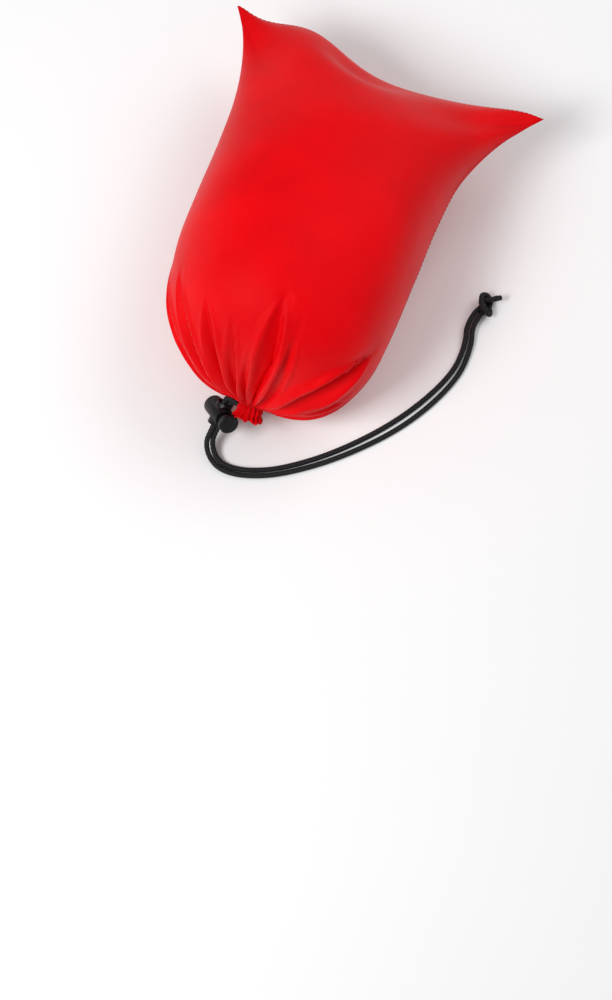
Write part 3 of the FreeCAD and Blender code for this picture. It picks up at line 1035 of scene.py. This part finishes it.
@dataclass
class Casing:
    """The gathered hem past the neck: a puckered mouth around the cord, in two halves."""

    neck: Neck
    columns: int = 150
    rows: int = 40
    pleats: float = 9.0
    slit_angle: float = math.radians(29.0)
    far_gap: float = math.radians(1.5)
    thickness: float = 0.3 * MM
    pattern_mm: tuple = (200.0, 40.0)
    back_offset: float = 2.1

    # Radius and height out of the sack, from the stitch line over the cord and the lip, and
    # back into the closed mouth, with how deep the pleats are, in millimetres.
    profile: tuple = (
        (5.3, -0.8, 0.5), (6.3, 0.8, 0.6), (7.0, 2.8, 0.6), (6.6, 4.8, 0.7), (7.2, 6.4, 1.0),
        (7.9, 7.6, 1.2), (7.2, 8.3, 1.2), (5.4, 7.2, 1.1), (3.4, 5.2, 0.8), (1.7, 3.4, 0.5),
        (0.5, 2.2, 0.15),
    )

    def half(self, side: Side) -> tuple[np.ndarray, np.ndarray]:
        """One half of the mouth.

        The profile's radius is turned about the neck's axis, plus the pleat depth times a sine
        of the turn whose phase wanders with the height.

        Args:
            side: which half.

        Returns:
            Points and pattern coordinates, rows by columns.
        """
        table = np.array(self.profile)
        stations = np.linspace(0.0, 1.0, len(table))
        share, run = np.meshgrid(np.linspace(0, 1, self.columns + 1), np.linspace(0, 1, self.rows + 1))
        radius, height, depth = np.moveaxis(through(stations, table, run), -1, 0)
        turn = self.far_gap + share * (np.pi - self.slit_angle - self.far_gap)
        offset = 0.0 if side is Side.FRONT else self.back_offset
        phase = 2.0 * self.pleats * turn + 1.3 * np.sin(2.0 * turn + offset)
        phase = phase + 0.7 * np.sin(4.0 * run + offset)
        wave = np.sin(phase) + 0.35 * np.sin(2.3 * phase + 1.0)
        reach = radius + depth * wave
        rise = height + 0.5 * depth * np.sin(0.5 * phase + offset)
        local = np.stack([reach * np.cos(turn), side.value * reach * np.sin(turn), rise], axis=-1) * MM
        pattern = np.stack([share, run], axis=-1) * np.array(self.pattern_mm) * MM
        return self.neck.placed(local), pattern

    def build(self, material: bpy.types.Material) -> dict:
        """The two halves.

        Args:
            material: the fabric.

        Returns:
            The pieces by side.
        """
        pieces = {}
        for side in Side:
            name = "casing_" + side.name.lower()
            points, pattern = self.half(side)
            piece = panel_piece(name + "_gathered", points, pattern, side is Side.FRONT)
            thick = piece.modifiers.new("thick", "SOLIDIFY")
            thick.thickness = self.thickness
            thick.offset = -1.0
            dress(piece, material, Body.SACK)
            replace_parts(piece, name)
            pieces[side] = piece
        return pieces


@dataclass
class Stitching:
    """Lines of short thread stitches that lie on the settled cloth."""

    pitch: float = 2.6 * MM
    share: float = 0.72
    radius: float = 0.16 * MM
    sides: int = 6
    rings: int = 7
    bulge: float = 0.10 * MM

    def line(self, path: np.ndarray, outward: np.ndarray) -> tuple[np.ndarray, list]:
        """The stitches along a path.

        A stitch is a round rod whose middle rises as a sine from one end to the other, and whose
        radius is the square root of the sine, so that it is closed and rounded at its ends.

        Args:
            path: points in order.
            outward: the surface's outward direction at each point.

        Returns:
            Vertices and faces.
        """
        total = length_of(path)
        count = max(1, int(total / self.pitch))
        run = np.linspace(0.03, 0.97, self.rings)
        at = (np.arange(count)[:, None] + run * self.share) * total / count
        middle = spaced_along(path, at.ravel()).reshape(count, len(run), 3)
        away = unit(spaced_along(path, at.ravel(), outward)).reshape(count, len(run), 3)
        swell = np.sin(np.pi * run)
        middle = middle + away * (self.radius * 0.5 + self.bulge * swell)[:, None]
        tangent = unit(np.gradient(middle, axis=1))
        across = unit(np.cross(tangent, away))
        up = np.cross(across, tangent)
        angle = 2.0 * np.pi * np.arange(self.sides) / self.sides
        ring = across[:, :, None] * np.cos(angle)[:, None] + up[:, :, None] * np.sin(angle)[:, None]
        points = middle[:, :, None] + ring * (self.radius * np.sqrt(swell))[:, None, None]
        ids = np.arange(points.size // 3).reshape(count, len(run), self.sides)
        closed = np.concatenate([ids, ids[..., :1]], axis=-1)
        quads = np.stack([closed[:, :-1, :-1], closed[:, 1:, :-1], closed[:, 1:, 1:], closed[:, :-1, 1:]],
                         axis=-1).reshape(-1, 4)
        ends = ids[:, 0].tolist() + ids[:, -1, ::-1].tolist()
        return points.reshape(-1, 3), quads.tolist() + ends

    def build(self, name: str, path: np.ndarray, outward: np.ndarray, node: str,
              material: bpy.types.Material) -> bpy.types.Object:
        """One line of stitches as a piece.

        Args:
            name: the piece's name.
            path: points in order.
            outward: the surface's outward direction at each point.
            node: the CAD node that it stands for.
            material: the thread.

        Returns:
            The piece.
        """
        points, faces = self.line(path, outward)
        piece = make_piece(name, points, faces)
        dress(piece, material, Body.SACK)
        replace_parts(piece, node)
        return piece


@dataclass
class Load:
    """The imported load: the settled sack's inside, a little smaller and smoother."""

    first_row: int = 8
    rows_short: int = 14
    step: int = 2
    shrink: float = 0.91
    passes: int = 6
    heart: tuple = (0.0, 0.004, 0.050)

    def build(self, front: np.ndarray, back: np.ndarray, material: bpy.types.Material) -> bpy.types.Object:
        """The load as a closed piece.

        Rings run around both panels. Each is averaged with its neighbours along the ring, drawn
        towards the heart, and the first and last are closed with a fan.

        Args:
            front: the settled front points.
            back: the settled back points.
            material: its finish.

        Returns:
            The piece.
        """
        rows = slice(self.first_row, -self.rows_short, self.step)
        ring = np.concatenate([front[rows, ::self.step], back[rows, ::self.step][:, -2:0:-1]], axis=1)
        for _ in range(self.passes):
            ring = (np.roll(ring, 1, axis=1) + 2.0 * ring + np.roll(ring, -1, axis=1)) / 4.0
        heart = np.array(self.heart)
        ring = heart + (ring - heart) * self.shrink
        points, faces = closed_rings(ring)
        piece = make_piece("packed_load", points, faces)
        dress(piece, material, Body.SACK)
        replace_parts(piece, "stuffing")
        return piece


# ---------------------------------------------------------------- the drawcord


class Hand(Enum):
    """Which strand of the doubled tail, seen along it from the lock."""

    LEFT = -1
    RIGHT = 1


@dataclass
class Drawcord:
    """The doubled tail, from the casing's slit through the lock to the knot."""

    neck: Neck
    braid: Braid
    half_gap_mm: float = 1.6
    leg_reach_mm: float = 5.3
    leg_height_mm: float = 3.0
    lock_half_gap_mm: float = 1.55
    lock_centre_mm: tuple = (-13.2, -98.0, 17.2)
    strand_way: tuple = (-0.116, -0.831, -0.544)
    button_way: tuple = (0.615, -0.478, 0.627)
    tail_turn_out_mm: float = 17.0
    knot_start_mm: tuple = (94.3, 13.4, 4.3)
    knot_way: tuple = (0.31, 0.95, 0.0)
    left_length: float = 0.241
    right_length: float = 0.227
    spline_steps: int = 24
    path_points: int = 160

    # The tail's middle line past the lock: x, y, z and half the gap between the strands.
    tail: tuple = (
        (-10.9, -118.3, 3.4, 1.7), (-3.3, -121.8, 1.7, 1.6), (9.6, -120.0, 1.6, 1.6),
        (27.7, -111.5, 1.6, 1.6), (53.0, -91.0, 1.6, 1.9), (79.0, -60.5, 1.6, 2.4),
        (95.3, -27.0, 1.6, 2.0), (96.0, -6.0, 1.6, 1.8), (91.9, 5.4, 3.5, 1.6),
    )

    def turns_mm(self, hand: Hand) -> tuple:
        """Stations of a strand's points along the lock's hole, the outer two at its turns."""
        return (-12.2, -4.4, 9.7, 17.8) if hand is Hand.LEFT else (-9.4, -2.0, 8.2, 16.2)

    def lock_axes(self) -> tuple[np.ndarray, np.ndarray, np.ndarray]:
        """Unit vectors along the strands in the lock, across them and towards the button."""
        along = unit(np.array(self.strand_way))
        button = np.array(self.button_way)
        button = unit(button - along * (button @ along))
        return along, np.cross(button, along), button

    def route(self, hand: Hand) -> np.ndarray:
        """The points that one strand is drawn through, in metres.

        Args:
            hand: which strand.

        Returns:
            The route's points in order.
        """
        sign = hand.value
        along, across, _ = self.lock_axes()
        leg = np.array([-self.leg_reach_mm, -sign * self.half_gap_mm, self.leg_height_mm])
        centre = np.array(self.lock_centre_mm)
        in_lock = centre + across * (sign * self.lock_half_gap_mm)
        points = [self.neck.placed(leg * MM) / MM]
        points += [in_lock + along * station for station in self.turns_mm(hand)]
        tail = np.array(self.tail)
        middles = np.vstack([centre + along * self.tail_turn_out_mm, tail[:, :3], self.knot_start_mm])
        chord = middles[2:] - middles[:-2]
        level = unit(np.stack([-chord[:, 1], chord[:, 0], np.zeros(len(chord))], axis=1))
        points += list(middles[1:-1] + level * (sign * tail[:, 3:]))
        points.append(np.array(self.knot_start_mm) + self.knot_left() * (sign * self.half_gap_mm))
        return np.array(points) * MM

    def knot_left(self) -> np.ndarray:
        """The level unit vector to the left of the knot's direction."""
        return unit(np.array([-self.knot_way[1], self.knot_way[0], 0.0]))

    def line_of(self, name: str, route: np.ndarray) -> np.ndarray:
        """Points read from the smooth spline that has the route as its control points.

        Args:
            name: a name for the working curve.
            route: control points in metres.

        Returns:
            Points in order along the spline.
        """
        curve = bpy.data.curves.new(name, "CURVE")
        curve.dimensions = "3D"
        spline = curve.splines.new("NURBS")
        spline.points.add(len(route) - 1)
        spline.points.foreach_set("co", np.column_stack([route, np.ones(len(route))]).ravel())
        spline.order_u = 3
        spline.use_endpoint_u = True
        spline.resolution_u = self.spline_steps
        holder = bpy.data.objects.new(name, curve)
        mesh = bpy.data.meshes.new_from_object(holder)
        line = np.empty(len(mesh.vertices) * 3)
        mesh.vertices.foreach_get("co", line)
        bpy.data.meshes.remove(mesh)
        bpy.data.objects.remove(holder)
        bpy.data.curves.remove(curve)
        return line.reshape(-1, 3)

    def strand(self, hand: Hand, material: bpy.types.Material) -> bpy.types.Object:
        """One strand as a braided piece.

        Args:
            hand: which strand.
            material: its finish.

        Returns:
            The piece.
        """
        name = "drawcord_strand_" + hand.name.lower()
        line = self.line_of(name + "_line", self.route(hand))
        piece = self.braid.tube(name + "_braid", line, np.array([0.0, 0.0, 1.0]))
        dress(piece, material, Body.SACK)
        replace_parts(piece, name)
        LOG.info("%s: line %.4f m", piece.name, length_of(line))
        return piece


@dataclass
class OverhandKnot:
    """The overhand knot that ties both strands, and their two melted ends."""

    cord: Drawcord
    half_gap: float = 1.5 * MM
    end_length: float = 3.2 * MM
    end_overlap: float = 1.0 * MM
    end_points: int = 40
    end_spread: float = 0.18
    stations: int = 220

    # The doubled cord's middle in the knot: along the tail, to its left, and up from its middle.
    turns_mm: tuple = (
        (-1.0, 0.0, -0.2), (2.4, -0.2, -0.2), (5.2, -1.2, -1.0), (8.2, -0.2, -1.6), (9.6, 2.2, -0.4),
        (8.0, 4.0, 1.4), (5.6, 3.2, 2.8), (3.4, 0.4, 3.2), (2.2, -2.8, 1.8), (2.8, -4.2, -0.4),
        (4.8, -2.6, -1.6), (6.4, 1.0, -1.2), (7.4, 2.0, 0.6), (8.6, 0.6, 1.8), (10.2, -1.4, 1.6),
        (11.8, -2.2, 1.0),
    )

    def middle(self) -> np.ndarray:
        """The middle line of the doubled cord through the knot, in metres."""
        way = unit(np.array(self.cord.knot_way))
        axes = np.stack([way, self.cord.knot_left(), [0.0, 0.0, 1.0]])
        route = (np.array(self.cord.knot_start_mm) + np.array(self.turns_mm) @ axes) * MM
        return self.cord.line_of("knot_line", route)

    def build(self, material: bpy.types.Material) -> dict:
        """The knot and the two ends.

        Each strand keeps half the gap to one side of the middle line, and its end goes straight
        on from there.

        Args:
            material: the braid's finish.

        Returns:
            The pieces: the knot under None and each end under its hand.
        """
        middle = self.middle()
        middle = spaced_along(middle, np.linspace(0.0, length_of(middle), self.stations))
        tangent, left, _ = carried_sideways(middle, self.cord.knot_left())
        points, faces, uv = [], [], []
        ends = {}
        for hand in Hand:
            line = middle + left * (hand.value * self.half_gap)
            verts, polygons, corners = self.cord.braid.surface(line, np.array([0.0, 0.0, 1.0]))
            start = sum(len(p) for p in points)
            faces += [[start + corner for corner in face] for face in polygons]
            points.append(verts)
            uv.append(corners)
            out = unit(tangent[-1] + left[-1] * (self.end_spread * hand.value))
            run = np.linspace(-self.end_overlap, self.end_length, self.end_points)
            stub = line[-1] + out * run[:, None]
            name = "drawcord_end_" + hand.name.lower()
            ends[hand] = self.cord.braid.tube(name + "_melted", stub, left[-1])
            dress(ends[hand], material, Body.SACK)
            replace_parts(ends[hand], name)
        knot = make_piece("overhand_knot", np.concatenate(points), faces, np.concatenate(uv))
        dress(knot, material, Body.SACK)
        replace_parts(knot, "drawcord_knot")
        return {None: knot, **ends}


@dataclass
class CasingCord:
    """The stretch of cord that runs inside the casing."""

    neck: Neck
    braid: Braid
    ring_radius_mm: float = 4.2
    height_mm: float = 3.0
    slit_angle: float = math.radians(26.0)
    leg_mm: tuple = (5.4, 1.6)

    def build(self, material: bpy.types.Material) -> bpy.types.Object:
        """The loop as a braided piece that replaces its CAD tube.

        A ring around the neck from one side of the slit to the other, with a short leg out at
        each end.

        Args:
            material: its finish.

        Returns:
            The piece.
        """
        turn = np.linspace(np.pi - self.slit_angle, -np.pi + self.slit_angle, 200)
        ring = np.stack([np.cos(turn), np.sin(turn), np.zeros_like(turn)], axis=1) * self.ring_radius_mm
        reach, gap = self.leg_mm
        path = np.vstack([[-reach, gap, 0.0], ring, [-reach, -gap, 0.0]]) + [0.0, 0.0, self.height_mm]
        line = self.neck.placed(path * MM)
        piece = self.braid.tube("drawcord_casing_braid", line, self.neck.axes()[2])
        dress(piece, material, Body.SACK)
        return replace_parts(piece, "drawcord_casing_loop")


# ---------------------------------------------------------------- the cord lock


@dataclass
class CordLock:
    """The cord lock: its cup, its push button and the spring between them."""

    edge: float = 0.16 * MM
    merge: float = 0.001 * MM
    sharp: float = math.radians(35.0)
    level: float = math.radians(0.5)

    def softened(self, node: str, name: str) -> bpy.types.Object:
        """A CAD part's shape with its sharp edges broken, as a mould leaves them.

        Args:
            node: the CAD part.
            name: the new piece's name.

        Returns:
            The piece, which replaces the part.
        """
        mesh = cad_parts[node].data.copy()
        mesh.name = name
        work = bmesh.new()
        work.from_mesh(mesh)
        bmesh.ops.remove_doubles(work, verts=work.verts, dist=self.merge)
        bmesh.ops.dissolve_limit(work, angle_limit=self.level, verts=work.verts, edges=work.edges)
        work.to_mesh(mesh)
        work.free()
        piece = bpy.data.objects.new(name, mesh)
        bpy.context.scene.collection.objects.link(piece)
        mesh.shade_smooth()
        bevel = piece.modifiers.new("edges", "BEVEL")
        bevel.width = self.edge
        bevel.segments = 2
        bevel.limit_method = "ANGLE"
        bevel.angle_limit = self.sharp
        bevel.harden_normals = True
        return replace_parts(piece, node)

    def build(self, plastic: bpy.types.Material, steel: bpy.types.Material) -> None:
        """The lock's pieces: the cup and the push button each on its body, and the spring in steel.

        Args:
            plastic: the cup's and the button's finish.
            steel: the spring's finish.
        """
        dress(self.softened("lock_barrel", "lock_cup"), plastic, Body.LOCK)
        dress(self.softened("lock_plunger", "lock_push_button"), plastic, Body.BUTTON)
        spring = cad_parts["lock_spring"]
        spring.data.materials.clear()
        spring.data.materials.append(steel)
        LOG.info("lock_spring: CAD node in spring steel")


# ---------------------------------------------------------------- the studio


@dataclass
class Studio:
    """A pale floor, soft light and the camera."""

    aim: tuple = (0.0455, -0.121, 0.0)
    azimuth: float = math.radians(22.0)
    elevation: float = math.radians(75.0)
    distance: float = 1.25
    lens: float = 82.8
    floor_size: float = 6.0
    floor_colour: tuple = (0.86, 0.86, 0.865, 1.0)
    sky: float = 0.42

    def back(self) -> Vector:
        """The unit vector from the aim to the camera."""
        level = math.cos(self.elevation)
        return Vector((math.sin(self.azimuth) * level, -math.cos(self.azimuth) * level,
                       math.sin(self.elevation)))

    def camera(self) -> None:
        """The camera, upright as seen from above."""
        data = bpy.data.cameras.new("camera")
        data.lens = self.lens
        data.sensor_width = 36.0
        data.clip_start = 0.01
        camera = bpy.data.objects.new("camera", data)
        bpy.context.scene.collection.objects.link(camera)
        back = self.back()
        right = Vector((math.cos(self.azimuth), math.sin(self.azimuth), 0.0))
        turn = Matrix((right, back.cross(right), back)).transposed().to_4x4()
        camera.matrix_world = Matrix.Translation(Vector(self.aim) + back * self.distance) @ turn
        bpy.context.scene.camera = camera

    def floor(self) -> None:
        """A matt pale floor with the faintest mottle."""
        half = self.floor_size / 2
        corners = np.array([[-half, -half, 0], [half, -half, 0], [half, half, 0], [-half, half, 0]], float)
        floor = make_piece("studio_floor", corners, [[0, 1, 2, 3]])
        graph = Graph("pale_floor")
        mottle = graph.noise(graph.place(), 6.0, 3.0)
        second = tuple(channel * 0.985 for channel in self.floor_colour[:3]) + (1.0,)
        colour = graph.mixed(mottle, self.floor_colour, second)
        graph.feed(graph.shader.inputs["Base Color"], colour)
        floor.data.materials.append(graph.finish({"Roughness": 0.85, "Specular IOR Level": 0.2}))

    def light(self, name: str, place: tuple, size: float, watts: float) -> None:
        """A square soft light that faces the sack.

        Args:
            name: its name.
            place: where it stands, in metres.
            size: its side in metres.
            watts: its power.
        """
        data = bpy.data.lights.new(name, "AREA")
        data.size = size
        data.energy = watts
        light = bpy.data.objects.new(name, data)
        bpy.context.scene.collection.objects.link(light)
        way = Vector((0.0, 0.0, 0.05)) - Vector(place)
        light.matrix_world = Matrix.Translation(place) @ way.to_track_quat("-Z", "Y").to_matrix().to_4x4()

    def build(self) -> None:
        """Everything around the object."""
        self.camera()
        self.floor()
        world = bpy.data.worlds.new("studio")
        world.use_nodes = True
        world.node_tree.nodes["Background"].inputs[0].default_value = (1.0, 1.0, 1.0, 1.0)
        world.node_tree.nodes["Background"].inputs[1].default_value = self.sky
        bpy.context.scene.world = world
        bpy.context.scene.view_settings.view_transform = "Standard"
        self.light("key_light", (-0.45, -0.60, 0.95), 0.45, 10.0)
        self.light("fill_light", (0.5, 0.8, 1.0), 0.9, 6.5)


# ---------------------------------------------------------------- the whole


def seam_normals(front: np.ndarray, back: np.ndarray) -> tuple[np.ndarray, np.ndarray, np.ndarray]:
    """Outward directions along the left, right and closed-end seams.

    Each is the way from the cloth just inside the seam, averaged over both panels, to the seam.

    Args:
        front: the settled front points.
        back: the settled back points.

    Returns:
        Directions per seam point.
    """
    inner = 0.5 * (front + back)
    left = unit(front[:, 0] - inner[:, 2])
    right = unit(front[:, -1] - inner[:, -3])
    end = unit(front[-1] - inner[-3])
    return left, right, end


def build_sack(neck: Neck) -> dict:
    """The cloth, its casing, its stitching and its load.

    Args:
        neck: where the neck is.

    Returns:
        The panels by side.
    """
    nylon = WovenNylon().material()
    thread = SewingThread().material()
    cloth = SackCloth()
    front, back = cloth.settled()
    panels = cloth.build(front, back, nylon)
    casings = Casing(neck).build(nylon)
    load = Load().build(front, back, SoftWadding().material())
    stitching = Stitching()
    left, right, end = seam_normals(front, back)
    rows, columns = slice(4, -3), slice(3, -3)
    stitching.build("left_seam_thread", front[rows, 0], left[rows], "left_side_stitching", thread)
    stitching.build("right_seam_thread", front[rows, -1], right[rows], "right_side_stitching", thread)
    stitching.build("end_seam_thread", front[-1, columns], end[columns], "bottom_stitching", thread)
    for side, grid in ((Side.FRONT, front), (Side.BACK, back)):
        name = side.name.lower()
        row = grid[1]
        away = unit(row - np.array(neck.centre))
        piece = stitching.build("casing_thread_" + name, row, away, "casing_stitching_" + name, thread)
    return panels


def build_cord(neck: Neck) -> None:
    """The drawcord: the loop in the casing, two strands, the knot and the ends.

    Args:
        neck: where the neck is.
    """
    black = BraidedPolyester().material()
    braid = Braid()
    cord = Drawcord(neck, braid)
    CasingCord(neck, braid).build(black)
    knot = OverhandKnot(cord).build(black)
    cord.strand(Hand.LEFT, black)
    cord.strand(Hand.RIGHT, black)


def main() -> None:
    """Build and dress the stuff sack."""
    logging.basicConfig(level=logging.INFO, format="%(name)s: %(message)s")
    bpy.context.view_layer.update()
    neck = Neck()
    Studio().build()
    build_cord(neck)
    build_sack(neck)
    CordLock().build(MouldedPlastic().material(), SpringSteel().material())


if __name__ == "__main__":
    main()
